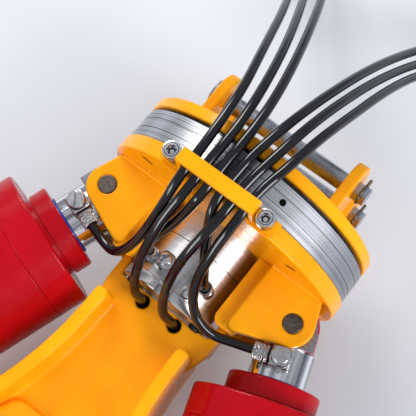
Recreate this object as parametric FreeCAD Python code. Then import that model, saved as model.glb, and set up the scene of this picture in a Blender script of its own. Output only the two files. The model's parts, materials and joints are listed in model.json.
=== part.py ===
"""Rotating twin-cylinder hydraulic grab head for a model excavator, lying on its side.

The slew axis runs along Y, the clevis and jaw pins stand along Z, and the rims of the
slewing discs and the sides of the jaws rest on the ground plane Z = 0.  Below, every piece
is drawn about the slew axis, with y = 0 on the lower disc's underside.  When it is written
out it moves by AXIS_START_Y and AXIS_HEIGHT, so that the origin is on the ground under the
middle of the object.
"""
import FreeCAD
import Part
import math
import os

os.makedirs("parts", exist_ok=True)

V = FreeCAD.Vector
X = V(1, 0, 0)
Y = V(0, 1, 0)
Z = V(0, 0, 1)

# ---------------------------------------------------------------- driving dimensions (mm)
LOWER_DISC_R = 43.0          # rim that touches the ground
AXIS_HEIGHT = LOWER_DISC_R   # height of the slew axis above the ground
AXIS_START_Y = 76.2          # the lower disc's underside, from the middle of the object
LOWER_DISC_T = 5.3
RING_R = 42.5                # silver slewing ring and upper disc
RING_LEVELS = (5.3, 8.9, 12.4, 15.4)
UPPER_DISC_Y0 = 17.0
UPPER_DISC_Y1 = 20.8
HUB_R = 33.6
RACE_R = 34.0                # circle of the ball centres
RACE_CLEAR = 0.4
BALL_R = 1.5
BALL_COUNT = 32
BALL_LEVEL = 10.65
SHAFT_R = 4.0
FIT = 0.05                   # radial running clearance of pins and rods

MOTOR_R = 14.8
MOTOR_FLANGE_R = 17.0
MOTOR_SEAM = -9.8
MOTOR_FLANGE_Y = -24.8
MOTOR_END = -28.3

PIN_R = 3.0                  # clevis, barrel and mount pins
ROD_PIN = V(36.0, -10.7, 0)  # right rod pin
LEAN = 19.0                  # each cylinder leans outward, degrees
CHEEK_IN = 9.8               # clevis cheeks, measured from the middle plane
CHEEK_OUT = 13.0
BRACKET_END = -23.0          # lower end of the bracket walls, where the frame's fork meets them
EYE_R = 8.2
EYE_HALF = 9.0
EYE_END_S = 6.0
ROD_R = 9.0
GLAND_R = 14.4
BARREL_R = 23.3
BARREL_BORE = 18.0
GLAND_S = 17.3               # stations along a cylinder, from its rod pin
BARREL_S = 24.3
HEAD_S = 34.2
BASE_S = 74.0
BASE_END_S = 80.0
CYLINDER_LENGTH = 94.0       # pin to pin
PISTON_S = 64.0
FITTING_S = 10.8
HOSE_R = 1.5
NUT_BORE_R = 1.85            # leaves the hose free while the rod swings a little
HOSE_LEVEL = 12.3            # height of the front fittings' hoses over the middle plane
REAR_LEVEL = 17.6            # the rear ones stand further out, clear of the bracket's cheek
REAR_TURN = 25.0             # and point a little towards the slewing ring

JAW_ARM = 34.0               # jaw pivot to barrel pin
JAW_ARM_ANGLE = 34.0
JAW_PIN_R = 4.0
OPEN_PIVOT_CLEAR = 1.0       # the barrel eyes run loose on their pins
WEB_HALF = 2.0
FLANGE_HALF = 13.0
FLANGE_T = 4.4
FLANGE_X = 17.9              # outer face of the straight part of a flange
FLANGE_BEND_Y = -42.0
FLANGE_BEND_R = 110.0
FLANGE_TOP_Y = -36.3
JAW_CHEEK_IN = 13.6
JAW_CHEEK_OUT = 18.1
SHELL_HALF = 43.0            # half width of a jaw shell, so its side rests on the ground

EAR_X0 = 22.8
EAR_X1 = 26.4
EAR_PIN_Y = 34.0
EAR_PIN_Z = 12.5
EAR_R = 8.0

CLAMP_SCREW_X = 16.4
CLAMP_HALF = 13.3            # half length of the bridge, outside its legs
CLAMP_LEG_T = 1.4
CLAMP_Y = LOWER_DISC_T / 2
SEAT_Z = 38.6
CLAMP_UNDER = 46.9
CLAMP_TOP = 48.7

lean_rad = math.radians(LEAN)
ALONG = V(math.sin(lean_rad), -math.cos(lean_rad), 0)
BARREL_PIN = ROD_PIN + ALONG * CYLINDER_LENGTH
arm_rad = math.radians(JAW_ARM_ANGLE)
JAW_PIVOT = BARREL_PIN - V(math.cos(arm_rad), math.sin(arm_rad), 0) * JAW_ARM


# ---------------------------------------------------------------- helpers
def cylinder(radius, start, end):
    """Solid cylinder from one centre point to another."""
    return Part.makeCylinder(radius, (end - start).Length, start, end - start)


def tube(outer, inner, start, end):
    step = (end - start).normalize()
    return cylinder(outer, start, end).cut(cylinder(inner, start - step, end + step))


def disc(radius, y0, y1):
    """Cylinder on the slew axis."""
    return cylinder(radius, V(0, y0, 0), V(0, y1, 0))


def box(x0, x1, y0, y1, z0, z1):
    return Part.makeBox(x1 - x0, y1 - y0, z1 - z0, V(x0, y0, z0))


def rounded(corners):
    """Closed wire in the XY plane from (x, y, radius) corners."""
    count = len(corners)
    edges = []
    ends = []
    for i in range(count):
        x, y, radius = corners[i]
        here = V(x, y, 0)
        before = V(corners[i - 1][0], corners[i - 1][1], 0) - here
        after = V(corners[(i + 1) % count][0], corners[(i + 1) % count][1], 0) - here
        before.normalize()
        after.normalize()
        if radius == 0:
            ends.append((here, here, None))
            continue
        half = before.getAngle(after) / 2
        reach = radius / math.tan(half)
        middle = here + (before + after).normalize() * (radius / math.sin(half) - radius)
        ends.append((here + before * reach, here + after * reach, middle))
    for i in range(count):
        first, last, middle = ends[i]
        if middle is not None:
            edges.append(Part.Arc(first, middle, last).toShape())
        start = ends[(i + 1) % count][0]
        if (start - last).Length > 1e-6:
            edges.append(Part.LineSegment(last, start).toShape())
    return Part.Wire(edges)


def plate(wire, z0, z1):
    face = Part.Face(wire)
    face.translate(V(0, 0, z0))
    return face.extrude(V(0, 0, z1 - z0))


def both_faces(shape):
    """The shape and its mirror image behind the middle plane."""
    return [shape, shape.mirror(V(0, 0, 0), Z)]


def fuse(shapes):
    whole = shapes[0].fuse(shapes[1:])
    return whole.removeSplitter()


def mirrored(shape):
    return shape.mirror(V(0, 0, 0), X)


def hexagon(across_flats, z0, z1, centre):
    radius = across_flats / math.sqrt(3)
    corners = []
    for i in range(6):
        angle = math.radians(60 * i)
        corners.append((centre.x + radius * math.cos(angle), centre.y + radius * math.sin(angle), 0))
    return plate(rounded(corners), z0, z1)


def round_edges(shape, radius, wanted):
    """Fillet the edges that the test picks."""
    edges = [edge for edge in shape.Edges if wanted(edge)]
    return shape.makeFillet(radius, edges)


def write(name, shape):
    lifted = shape.copy()
    lifted.translate(V(0, AXIS_START_Y, AXIS_HEIGHT))
    lifted.exportStep("parts/" + name + ".step")


def write_pair(name, shape):
    """A piece on the right and its mirror image on the left."""
    write("right_" + name, shape)
    write("left_" + name, mirrored(shape))


def socket_screw(head_centre, down, head_r, head_h, shank_r, shank_l, socket_r):
    """Cap screw whose head's underside is at head_centre and whose shank runs along down."""
    head = cylinder(head_r, head_centre, head_centre - down * head_h)
    head = round_edges(head, 0.3, lambda e: (e.CenterOfMass - (head_centre - down * head_h)).Length < 0.01)
    shank = cylinder(shank_r, head_centre - down * 0.2, head_centre + down * shank_l)
    socket = cylinder(socket_r, head_centre - down * (head_h * 0.4), head_centre - down * (head_h + 1))
    return head.fuse(shank).cut(socket).removeSplitter()


# ---------------------------------------------------------------- slewing gear
def lower_disc():
    body = disc(LOWER_DISC_R, 0, LOWER_DISC_T)
    body = round_edges(body, 0.6, lambda e: e.Length > 200)
    body = body.cut(disc(SHAFT_R + 2, -1, LOWER_DISC_T + 1))
    for side in (-1, 1):
        start = min(side * 11.8, side * 30)
        seat = box(start, start + 18.2, -1, LOWER_DISC_T + 1, SEAT_Z, LOWER_DISC_R + 1)
        body = body.cut(seat)
        hole = V(side * CLAMP_SCREW_X, CLAMP_Y, 30)
        body = body.cut(cylinder(1.5, hole, hole + Z * 12))
    return body


def slew_ring_layer(index):
    y0 = RING_LEVELS[index]
    y1 = RING_LEVELS[index + 1]
    body = tube(RING_R, RACE_R + RACE_CLEAR, V(0, y0, 0), V(0, y1, 0))
    groove = Part.makeTorus(RACE_R, BALL_R + FIT, V(0, BALL_LEVEL, 0), Y)
    body = body.cut(groove)
    if index == 1:
        direction = V(16.2, 0, 39.3).normalize()
        start = direction * (RING_R - 4) + Y * BALL_LEVEL
        body = body.cut(cylinder(1.05, start, start + direction * 6))
    return body


def slew_balls():
    balls = []
    for i in range(BALL_COUNT):
        angle = 2 * math.pi * i / BALL_COUNT
        centre = V(RACE_R * math.cos(angle), BALL_LEVEL, RACE_R * math.sin(angle))
        balls.append(Part.makeSphere(BALL_R, centre))
    return Part.makeCompound(balls)


def slew_hub():
    body = tube(HUB_R, SHAFT_R, V(0, 5.9, 0), V(0, UPPER_DISC_Y0, 0))
    groove = Part.makeTorus(RACE_R, BALL_R + FIT, V(0, BALL_LEVEL, 0), Y)
    return body.cut(groove)


def slew_seal():
    return tube(40.6, HUB_R + 0.4, V(0, RING_LEVELS[3], 0), V(0, UPPER_DISC_Y0 - 0.1, 0))


def upper_disc():
    body = disc(RING_R, UPPER_DISC_Y0, UPPER_DISC_Y1)
    body = round_edges(body, 0.6, lambda e: e.Length > 200)
    for angle in range(30, 390, 60):
        foot = V(math.cos(math.radians(angle)), 0, math.sin(math.radians(angle))) * 18
        body = body.cut(cylinder(1.5, foot + Y * 16, foot + Y * 22))
    return body


def hub_screws():
    screws = []
    for angle in range(30, 390, 60):
        foot = V(math.cos(math.radians(angle)), 0, math.sin(math.radians(angle))) * 18
        screws.append(socket_screw(foot + Y * UPPER_DISC_Y1, -Y, 2.75, 3.0, 1.5, 3.7, 1.25))
    return Part.makeCompound(screws)


def mount_ear():
    """Right ear of the upper mount: two lobes with pin bores on one root, in the YZ plane."""
    lobes = []
    for z in (-EAR_PIN_Z, EAR_PIN_Z):
        lobes.append(cylinder(EAR_R, V(EAR_X0, EAR_PIN_Y, z), V(EAR_X1, EAR_PIN_Y, z)))
        lobes.append(box(EAR_X0, EAR_X1, UPPER_DISC_Y1, EAR_PIN_Y, z - EAR_R, z + EAR_R))
    root = box(EAR_X0, EAR_X1, UPPER_DISC_Y1, 26.0, -EAR_PIN_Z, EAR_PIN_Z)
    body = fuse(lobes + [root])
    for z in (-EAR_PIN_Z, EAR_PIN_Z):
        body = body.cut(cylinder(PIN_R, V(20, EAR_PIN_Y, z), V(30, EAR_PIN_Y, z)))
    return body


def mount_pin(z):
    """Cross pin between the ears with a flat head on the left and a clip hole on the right."""
    left = -EAR_X1
    pin = cylinder(PIN_R, V(left, EAR_PIN_Y, z), V(EAR_X1 + 4.2, EAR_PIN_Y, z))
    head = cylinder(PIN_R + 1.6, V(left - 1.8, EAR_PIN_Y, z), V(left, EAR_PIN_Y, z))
    pin = fuse([pin, head])
    eye = V(EAR_X1 + 2.3, EAR_PIN_Y, z)
    return pin.cut(cylinder(0.55, eye - Y * 5, eye + Y * 5))


def mount_clips():
    """Spring clips through the pin ends: a straight leg and a bowed leg round the pin."""
    clips = []
    wire_r = 0.5
    for z in (-EAR_PIN_Z, EAR_PIN_Z):
        x = EAR_X1 + 2.3
        low = V(x, EAR_PIN_Y - 4.6, z)
        top = V(x, EAR_PIN_Y + 5.6, z)
        straight = cylinder(wire_r, low, top)
        bend = V(x, EAR_PIN_Y + 5.6, z + 2.0)
        loop = Part.Arc(top, bend + Y * 2.0, bend + Z * 2.0).toShape()
        bow = Part.Arc(bend + Z * 2.0, V(x, EAR_PIN_Y, z + 4.2), V(x, EAR_PIN_Y - 4.0, z + 2.6)).toShape()
        path = Part.Wire([loop])
        circle = Part.Wire([Part.Circle(top, Y, wire_r).toShape()])
        loop_solid = path.makePipeShell([circle], True, True)
        second = Part.Wire([Part.Circle(bend + Z * 2.0, bow.tangentAt(bow.FirstParameter), wire_r).toShape()])
        bow_solid = Part.Wire([bow]).makePipeShell([second], True, True)
        joint = Part.makeSphere(wire_r, bend + Z * 2.0)
        clips.append(straight.fuse([loop_solid, bow_solid, joint]))
    return Part.makeCompound(clips)


# ---------------------------------------------------------------- motor
def motor_front():
    body = tube(MOTOR_R, SHAFT_R + FIT, V(0, MOTOR_SEAM, 0), V(0, 0, 0))
    return body


def motor_housing():
    body = disc(MOTOR_R, MOTOR_FLANGE_Y, MOTOR_SEAM)
    body = body.cut(disc(11.0, MOTOR_FLANGE_Y - 1, MOTOR_SEAM + 1))
    for centre, radius in motor_port_places():
        body = body.cut(cylinder(radius, V(centre.x, centre.y, 5), V(centre.x, centre.y, 20)))
    return body


def motor_rotor():
    """Vane rotor inside the motor, on the drive shaft."""
    rotor = disc(8.5, MOTOR_FLANGE_Y + 0.6, MOTOR_SEAM - 0.6)
    vanes = []
    for i in range(6):
        blade = box(8, 10.6, MOTOR_FLANGE_Y + 0.6, MOTOR_SEAM - 0.6, -0.8, 0.8)
        blade.rotate(V(0, 0, 0), Y, 60 * i + 15)
        vanes.append(blade)
    return fuse([rotor] + vanes)


def motor_end_cap():
    body = disc(MOTOR_FLANGE_R, MOTOR_END, MOTOR_FLANGE_Y)
    body = round_edges(body, 0.4, lambda e: e.Length > 60)
    notch = box(-2.4, 1.8, MOTOR_END - 1, MOTOR_END + 2.6, 14.0, 18.0)
    body = body.cut(notch)
    for place in motor_screw_places():
        body = body.cut(cylinder(1.0, place, place + Y * 2.5))
    return body


def drive_shaft():
    return disc(SHAFT_R, MOTOR_SEAM - 0.6, 16.4)


def motor_port_places():
    """Bores on the motor's upper side: blanking nut, right port and left port."""
    return ((V(-5.2, -19.0, 0), 1.6), (V(9.4, -18.6, 0), 1.6), (V(-11.4, -19.6, 0), 1.2))


def motor_blanking_nut():
    centre = V(-5.2, -19.0, 0)
    nut = hexagon(5.4, 13.9, 17.0, centre)
    dome = cylinder(2.0, centre + Z * 16.9, centre + Z * 18.6)
    dome = round_edges(dome, 0.5, lambda e: e.CenterOfMass.z > 18.5)
    stem = cylinder(1.55, centre + Z * 11.2, centre + Z * 14.5)
    seat = motor_surface_seat(nut)
    return fuse([seat, dome, stem])


def motor_surface_seat(piece):
    """Trim a piece so that it sits on the motor's round surface."""
    return piece.cut(disc(MOTOR_R + 0.02, MOTOR_END, 1))


def motor_port_boss():
    centre = V(9.4, -18.6, 0)
    outer = cylinder(2.5, centre + Z * 9, centre + Z * 16.8)
    outer = round_edges(outer, 0.4, lambda e: e.CenterOfMass.z > 16.7)
    stem = cylinder(1.55, centre + Z * 9.5, centre + Z * 14)
    body = fuse([motor_surface_seat(outer), stem])
    return body.cut(cylinder(HOSE_R, centre + Z * 14.6, centre + Z * 20))


def motor_side_fitting():
    centre = V(-11.4, -19.6, 0)
    nut = hexagon(4.6, 6, 12.6, centre)
    collar = cylinder(1.9, centre + Z * 12.5, centre + Z * 15.4)
    stem = cylinder(1.15, centre + Z * 8.2, centre + Z * 12)
    return fuse([motor_surface_seat(nut), collar, stem])


def motor_bleed_fitting():
    """Small stepped fitting near the motor's end."""
    centre = V(5.6, -22.6, 0)
    wide = motor_surface_seat(cylinder(1.9, centre + Z * 11, centre + Z * 15.4))
    narrow = cylinder(1.2, centre + Z * 15.3, centre + Z * 17.4)
    return fuse([wide, narrow])


def motor_screw_places():
    places = []
    for angle in (20, 160, 200, 340):
        outward = V(math.cos(math.radians(angle)), 0, math.sin(math.radians(angle)))
        places.append(outward * 12.9 + Y * MOTOR_END)
    return places


def motor_screws():
    screws = [socket_screw(place, Y, 1.9, 1.4, 1.0, 2.5, 0.9) for place in motor_screw_places()]
    return Part.makeCompound(screws)


# ---------------------------------------------------------------- brackets, frame, clamp
def cheek_wire():
    return rounded([(20.3, 0, 0), (38.9, 0, 0), (45.0, -14.8, 7.2), (20.1, -24.4, 2.2)])


def clevis_bracket():
    """Right bracket: side wall beside the motor, root plates and two teardrop cheeks."""
    cheek = plate(cheek_wire(), CHEEK_IN, CHEEK_OUT)
    cheek = round_edges(cheek, 0.6, lambda e: e.CenterOfMass.z > CHEEK_OUT - 0.01 and e.CenterOfMass.y < -0.1)
    root = plate(rounded([(15.5, 0, 0), (25.0, 0, 0), (24.0, -24.0, 1.5), (15.5, -24.4, 3.0)]), 7.6, 10.4)
    wall = box(17.4, 21.6, BRACKET_END, 0, -10.4, 10.4)
    body = fuse([wall] + both_faces(cheek) + both_faces(root))
    return body.cut(cylinder(PIN_R, ROD_PIN - Z * 20, ROD_PIN + Z * 20))


def rod_pin():
    start = ROD_PIN - Z * (CHEEK_OUT + 1.6)
    pin = cylinder(PIN_R, start, ROD_PIN + Z * (CHEEK_OUT + 0.25))
    head = cylinder(PIN_R + 1.4, start, ROD_PIN - Z * CHEEK_OUT)
    pin = round_edges(pin, 0.3, lambda e: e.CenterOfMass.z > CHEEK_OUT)
    return fuse([pin, head])


def flange_centre():
    return V(FLANGE_X + FLANGE_BEND_R, FLANGE_BEND_Y, 0)


def flange_point(radius, y):
    """Point on a flange face at a given y."""
    centre = flange_centre()
    drop = centre.y - y
    return V(centre.x - math.sqrt(radius * radius - drop * drop), y, 0)


def frame_web_wire():
    """Outline of the middle web: forked round the motor and flaring down to the jaw pivots."""
    foot_y = JAW_PIVOT.y - 2
    upper_right = V(FLANGE_X, FLANGE_BEND_Y, 0)
    middle_right = flange_point(FLANGE_BEND_R, (FLANGE_BEND_Y + foot_y) / 2)
    lower_right = flange_point(FLANGE_BEND_R, foot_y)
    left = [V(-p.x, p.y, 0) for p in (upper_right, middle_right, lower_right)]
    arch = Part.Arc(lower_right + V(-9, -5, 0), V(0, JAW_PIVOT.y + 8, 0), left[2] + V(9, -5, 0))
    fork = [V(-20.3, -33, 0), V(-20.3, BRACKET_END, 0), V(-17.4, BRACKET_END, 0), V(-17.4, -28.8, 0)]
    fork_right = [V(-p.x, p.y, 0) for p in reversed(fork)]
    outline = [left[0]] + fork + fork_right + [upper_right]
    edges = [Part.makeLine(a, b) for a, b in zip(outline, outline[1:])]
    edges.append(Part.Arc(upper_right, middle_right, lower_right).toShape())
    edges.append(Part.makeLine(lower_right, lower_right + V(-9, -5, 0)))
    edges.append(arch.toShape())
    edges.append(Part.makeLine(left[2] + V(9, -5, 0), left[2]))
    edges.append(Part.Arc(left[2], left[1], left[0]).toShape())
    return Part.Wire(edges)


def frame_flange():
    """Right flange: straight with a rounded end, then a long outward bend."""
    centre = flange_centre() - Z * FLANGE_HALF
    lift = Z * (2 * FLANGE_HALF)
    band = tube(FLANGE_BEND_R + FLANGE_T, FLANGE_BEND_R, centre, centre + lift)
    band = band.common(box(0, 60, JAW_PIVOT.y, FLANGE_BEND_Y, -FLANGE_HALF, FLANGE_HALF))
    inner_x = FLANGE_X - FLANGE_T
    end = rounded([(inner_x, FLANGE_BEND_Y, 0), (FLANGE_X, FLANGE_BEND_Y, 0), (FLANGE_X, FLANGE_TOP_Y, 1.5),
                   (inner_x, FLANGE_TOP_Y, 1.5)])
    return fuse([band, plate(end, -FLANGE_HALF, FLANGE_HALF)])


def grab_frame():
    web = plate(frame_web_wire(), -WEB_HALF, WEB_HALF)
    pad = rounded([(-17.0, -77.5, 5), (17.0, -77.5, 5), (30.5, -104, 8), (-30.5, -104, 8)])
    flange = frame_flange()
    boss = cylinder(10.0, JAW_PIVOT - Z * FLANGE_HALF, JAW_PIVOT + Z * FLANGE_HALF)
    neck = box(17.4, 20.3, -33, BRACKET_END, -6, WEB_HALF)
    pieces = [web, plate(pad, -WEB_HALF - 1.6, WEB_HALF + 1.6)]
    for piece in (flange, boss, neck):
        pieces.append(piece)
        pieces.append(mirrored(piece))
    body = fuse(pieces)
    for side in (-1, 1):
        body = body.cut(cylinder(2.3, V(side * 6.3, -31.7, -5), V(side * 6.3, -31.7, 5)))
        pivot = V(side * JAW_PIVOT.x, JAW_PIVOT.y, -20)
        body = body.cut(cylinder(JAW_PIN_R + FIT, pivot, pivot + Z * 40))
    return body


def hose_clamp():
    """Bridge over the six hoses with a foot tab at each end."""
    y0 = 0.6
    y1 = LOWER_DISC_T - 0.1
    inside = CLAMP_HALF - CLAMP_LEG_T
    pieces = [box(-CLAMP_HALF, CLAMP_HALF, y0, y1, CLAMP_UNDER, CLAMP_TOP)]
    for side in (-1, 1):
        leg_x = min(side * inside, side * CLAMP_HALF)
        tab_x = min(side * inside, side * 20.0)
        pieces.append(box(leg_x, leg_x + CLAMP_LEG_T, y0, y1, SEAT_Z, CLAMP_TOP))
        pieces.append(box(tab_x, tab_x + 20.0 - inside, y0, y1, SEAT_Z, SEAT_Z + 1.8))
    body = fuse(pieces)
    body = round_edges(body, 0.5, lambda e: e.CenterOfMass.z > CLAMP_TOP - 0.01 and e.Length > 20)
    for side in (-1, 1):
        hole = V(side * CLAMP_SCREW_X, CLAMP_Y, SEAT_Z - 1)
        body = body.cut(cylinder(1.5, hole, hole + Z * 5))
    return body


def clamp_spacers():
    spacers = []
    for side in (-1, 1):
        foot = V(side * CLAMP_SCREW_X, CLAMP_Y, SEAT_Z + 1.8)
        spacers.append(tube(2.15, 1.5, foot, foot + Z * 3.2))
    return Part.makeCompound(spacers)


def clamp_screws():
    screws = []
    for side in (-1, 1):
        place = V(side * CLAMP_SCREW_X, CLAMP_Y, SEAT_Z + 5.0)
        screws.append(socket_screw(place, -Z, 2.8, 3.0, 1.5, 12.0, 1.3))
    return Part.makeCompound(screws)


# ---------------------------------------------------------------- cylinders
# Each is drawn upright from its rod pin at the origin along -Y, then leaned and placed.
def place_cylinder(shape):
    placed = shape.copy()
    placed.rotate(V(0, 0, 0), Z, LEAN)
    placed.translate(ROD_PIN)
    return placed


def along(s0, s1, radius):
    return cylinder(radius, V(0, -s0, 0), V(0, -s1, 0))


def rod_eye():
    drum = cylinder(EYE_R, V(0, 0, -EYE_HALF), V(0, 0, EYE_HALF))
    drum = round_edges(drum, 0.8, lambda e: abs(abs(e.CenterOfMass.z) - EYE_HALF) < 0.01)
    shank = box(-EYE_R, EYE_R, -EYE_END_S, 0, -EYE_HALF, EYE_HALF)
    body = fuse([drum, shank])
    body = body.cut(box(-20, 20, -20, -EYE_END_S, -20, 20))
    return body.cut(cylinder(PIN_R + FIT, V(0, 0, -20), V(0, 0, 20)))


def piston_rod():
    body = along(EYE_END_S, PISTON_S, ROD_R)
    for z in (-1, 1):
        start = V(0, -FITTING_S, z * 7.0)
        body = body.cut(cylinder(1.2, start, start + Z * (z * 5)))
    return body


def piston():
    body = along(PISTON_S, PISTON_S + 8, BARREL_BORE - FIT)
    ring = tube(BARREL_BORE + 1, BARREL_BORE - 1.2, V(0, -PISTON_S - 3, 0), V(0, -PISTON_S - 5, 0))
    return body.cut(ring)


def piston_seal():
    return tube(BARREL_BORE - FIT, BARREL_BORE - 1.2, V(0, -PISTON_S - 3, 0), V(0, -PISTON_S - 5, 0))


def banjo_fitting(level, slotted):
    """Banjo block on its post, with the bolt's round head; drawn round the Z axis."""
    block = box(-3.1, 3.1, -3.1, 3.1, level - 4.1, level + 2.3)
    post = cylinder(2.2, Z * (ROD_R - 0.8), Z * (level - 4.0))
    head = cylinder(2.8, Z * (level + 2.2), Z * (level + 4.3))
    head = round_edges(head, 0.3, lambda e: e.CenterOfMass.z > level + 4.2)
    if slotted:
        head = head.cut(box(-3, 3, -0.4, 0.4, level + 3.7, level + 6))
    barb = cylinder(1.7, V(-2.9, 0, level), V(-3.9, 0, level))
    return fuse([block, post, head, barb])


def hose_nut(level):
    """Nut that holds the hose, with one groove round it and a bore for the hose."""
    body = cylinder(2.6, V(-3.9, 0, level), V(-8.6, 0, level))
    body = body.cut(tube(2.7, 2.3, V(-5.0, 0, level), V(-5.3, 0, level)))
    return body.cut(cylinder(NUT_BORE_R, V(-6.0, 0, level), V(-9.0, 0, level)))


def on_rod(shape, rear):
    """Place a front or rear fitting on the rod."""
    placed = shape.copy()
    if rear:
        placed = placed.mirror(V(0, 0, 0), Z)
        placed.rotate(V(0, 0, 0), Z, -REAR_TURN)
    placed.translate(V(0, -FITTING_S, 0))
    return placed


def seated(shape, rear):
    """Fitting cut to the rod's surface, with the threaded stem that enters the rod."""
    body = on_rod(shape, rear).cut(along(FITTING_S - 9, FITTING_S + 9, ROD_R + 0.02))
    stem = on_rod(cylinder(1.15, Z * (ROD_R - 1.3), Z * (ROD_R + 2)), rear)
    return fuse([body, stem])


def wiper_seal():
    return tube(ROD_R + 0.9, ROD_R + FIT, V(0, -GLAND_S + 0.7, 0), V(0, -GLAND_S, 0))


def gland():
    body = along(GLAND_S, BARREL_S, GLAND_R)
    body = round_edges(body, 0.7, lambda e: e.CenterOfMass.y > -GLAND_S - 0.1)
    neck = along(BARREL_S - 1.2, BARREL_S, GLAND_R + 1).cut(along(BARREL_S - 1.3, BARREL_S + 1, GLAND_R - 0.8))
    body = body.cut(neck)
    return body.cut(along(GLAND_S - 1, BARREL_S + 1, ROD_R + FIT))


def barrel_head():
    body = along(BARREL_S, HEAD_S, BARREL_R)
    body = round_edges(body, 0.8, lambda e: e.CenterOfMass.y > -BARREL_S - 0.1)
    body = round_edges(body, 0.35, lambda e: e.CenterOfMass.y < -HEAD_S + 0.01 and e.Length > 100)
    return body.cut(along(BARREL_S - 1, HEAD_S + 1, ROD_R + FIT))


def barrel_tube():
    body = along(HEAD_S, BASE_S, BARREL_R)
    body = round_edges(body, 0.35, lambda e: e.Length > 100 and abs(e.CenterOfMass.y + HEAD_S) < 0.01)
    return body.cut(along(HEAD_S - 1, BASE_S + 1, BARREL_BORE))


def barrel_base():
    """Bottom cap with a chamfered edge and the loose eye for the barrel pin."""
    disc_part = along(BASE_S, BASE_END_S - 4, BARREL_R)
    cone = Part.makeCone(BARREL_R, BARREL_R - 5, 4, V(0, -BASE_END_S + 4, 0), -Y)
    neck = box(-6.5, 6.5, -CYLINDER_LENGTH, -BASE_END_S + 2, -8, 8)
    eye = cylinder(7.0, V(0, -CYLINDER_LENGTH, -8), V(0, -CYLINDER_LENGTH, 8))
    body = fuse([disc_part, cone, neck, eye])
    centre = V(0, -CYLINDER_LENGTH, -20)
    return body.cut(cylinder(PIN_R + OPEN_PIVOT_CLEAR, centre, centre + Z * 40))


# ---------------------------------------------------------------- jaws
# Drawn about the right jaw pivot at the origin, then placed.
def place_jaw(shape):
    placed = shape.copy()
    placed.translate(JAW_PIVOT)
    return placed


def arm_end():
    return V(math.cos(arm_rad), math.sin(arm_rad), 0) * JAW_ARM


def shell_points():
    """Three points on the shell's outer face: below the barrel pin, the belly and the lip."""
    return (V(38.0, -8.0, 0), V(33.0, -46.0, 0), V(3.5, -76.0, 0))


def shell_wire():
    first, belly, lip = shell_points()
    inset = V(-4.0, -0.5, 0)
    outer = Part.Arc(first, belly, lip).toShape()
    inner = Part.Arc(lip + V(0.5, 5.5, 0), belly + V(-2.9, 2.8, 0), first + inset).toShape()
    close_lip = Part.makeLine(lip, lip + V(0.5, 5.5, 0))
    close_top = Part.makeLine(first + inset, first)
    return Part.Wire([outer, close_lip, inner, close_top])


def jaw_cheek():
    end = arm_end()
    wire = rounded([(-9.0, 3.0, 8.5), (6.0, 9.4, 9), (end.x - 5.0, end.y + 6.4, 7), (end.x + 6.4, end.y + 3.0, 6),
                    (35.2, -9.0, 1), (30.5, -43.5, 12), (6.0, -69.0, 2), (9.5, -52.0, 14),
                    (12.0, -24.0, 14), (-7.5, -7.0, 7)])
    cheek = plate(wire, JAW_CHEEK_IN, JAW_CHEEK_OUT)
    cheek = cheek.cut(cylinder(JAW_PIN_R, V(0, 0, -20), V(0, 0, 20)))
    return cheek.cut(cylinder(PIN_R, end - Z * 20, end + Z * 20))


def jaw_shell():
    shell = plate(shell_wire(), -SHELL_HALF, SHELL_HALF)
    return shell


def jaw_teeth():
    """Wedge teeth on the lip."""
    teeth = []
    wire = rounded([(5.0, -74.6, 0), (5.0, -71.6, 0), (-2.6, -73.4, 0), (-3.2, -74.6, 0)])
    for z in (-34.0, -11.4, 11.4, 34.0):
        teeth.append(plate(wire, z - 4.5, z + 4.5))
    return teeth


def jaw():
    """One welded piece: shell, both cheeks and the teeth."""
    return fuse([jaw_shell()] + both_faces(jaw_cheek()) + jaw_teeth())


def jaw_pin():
    half = JAW_CHEEK_OUT + 0.4
    pin = cylinder(JAW_PIN_R, V(0, 0, -half), V(0, 0, half))
    heads = [cylinder(JAW_PIN_R + 2, V(0, 0, z * half), V(0, 0, z * (half + 1.8))) for z in (-1, 1)]
    return fuse([pin] + heads)


def barrel_pin():
    centre = arm_end()
    half = JAW_CHEEK_OUT + 0.2
    pin = cylinder(PIN_R, centre - Z * half, centre + Z * half)
    heads = [cylinder(PIN_R + 1.6, centre + Z * (z * JAW_CHEEK_OUT), centre + Z * (z * (JAW_CHEEK_OUT + 1.6)))
             for z in (-1, 1)]
    return fuse([pin] + heads)


def barrel_pin_spacers():
    centre = arm_end()
    spacers = [tube(5.2, PIN_R, centre + Z * (z * 8.4), centre + Z * (z * JAW_CHEEK_IN)) for z in (-1, 1)]
    return Part.makeCompound(spacers)


# ---------------------------------------------------------------- hoses
CLAMP_PITCH = 4.1
GROUND = -AXIS_HEIGHT + HOSE_R


def clamp_run(index):
    """Two route points that carry hose number index straight through the clamp."""
    x = (index - 3.5) * CLAMP_PITCH
    return [(x, -2.0, 44.4), (x, 7.2, 45.4)]


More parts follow.
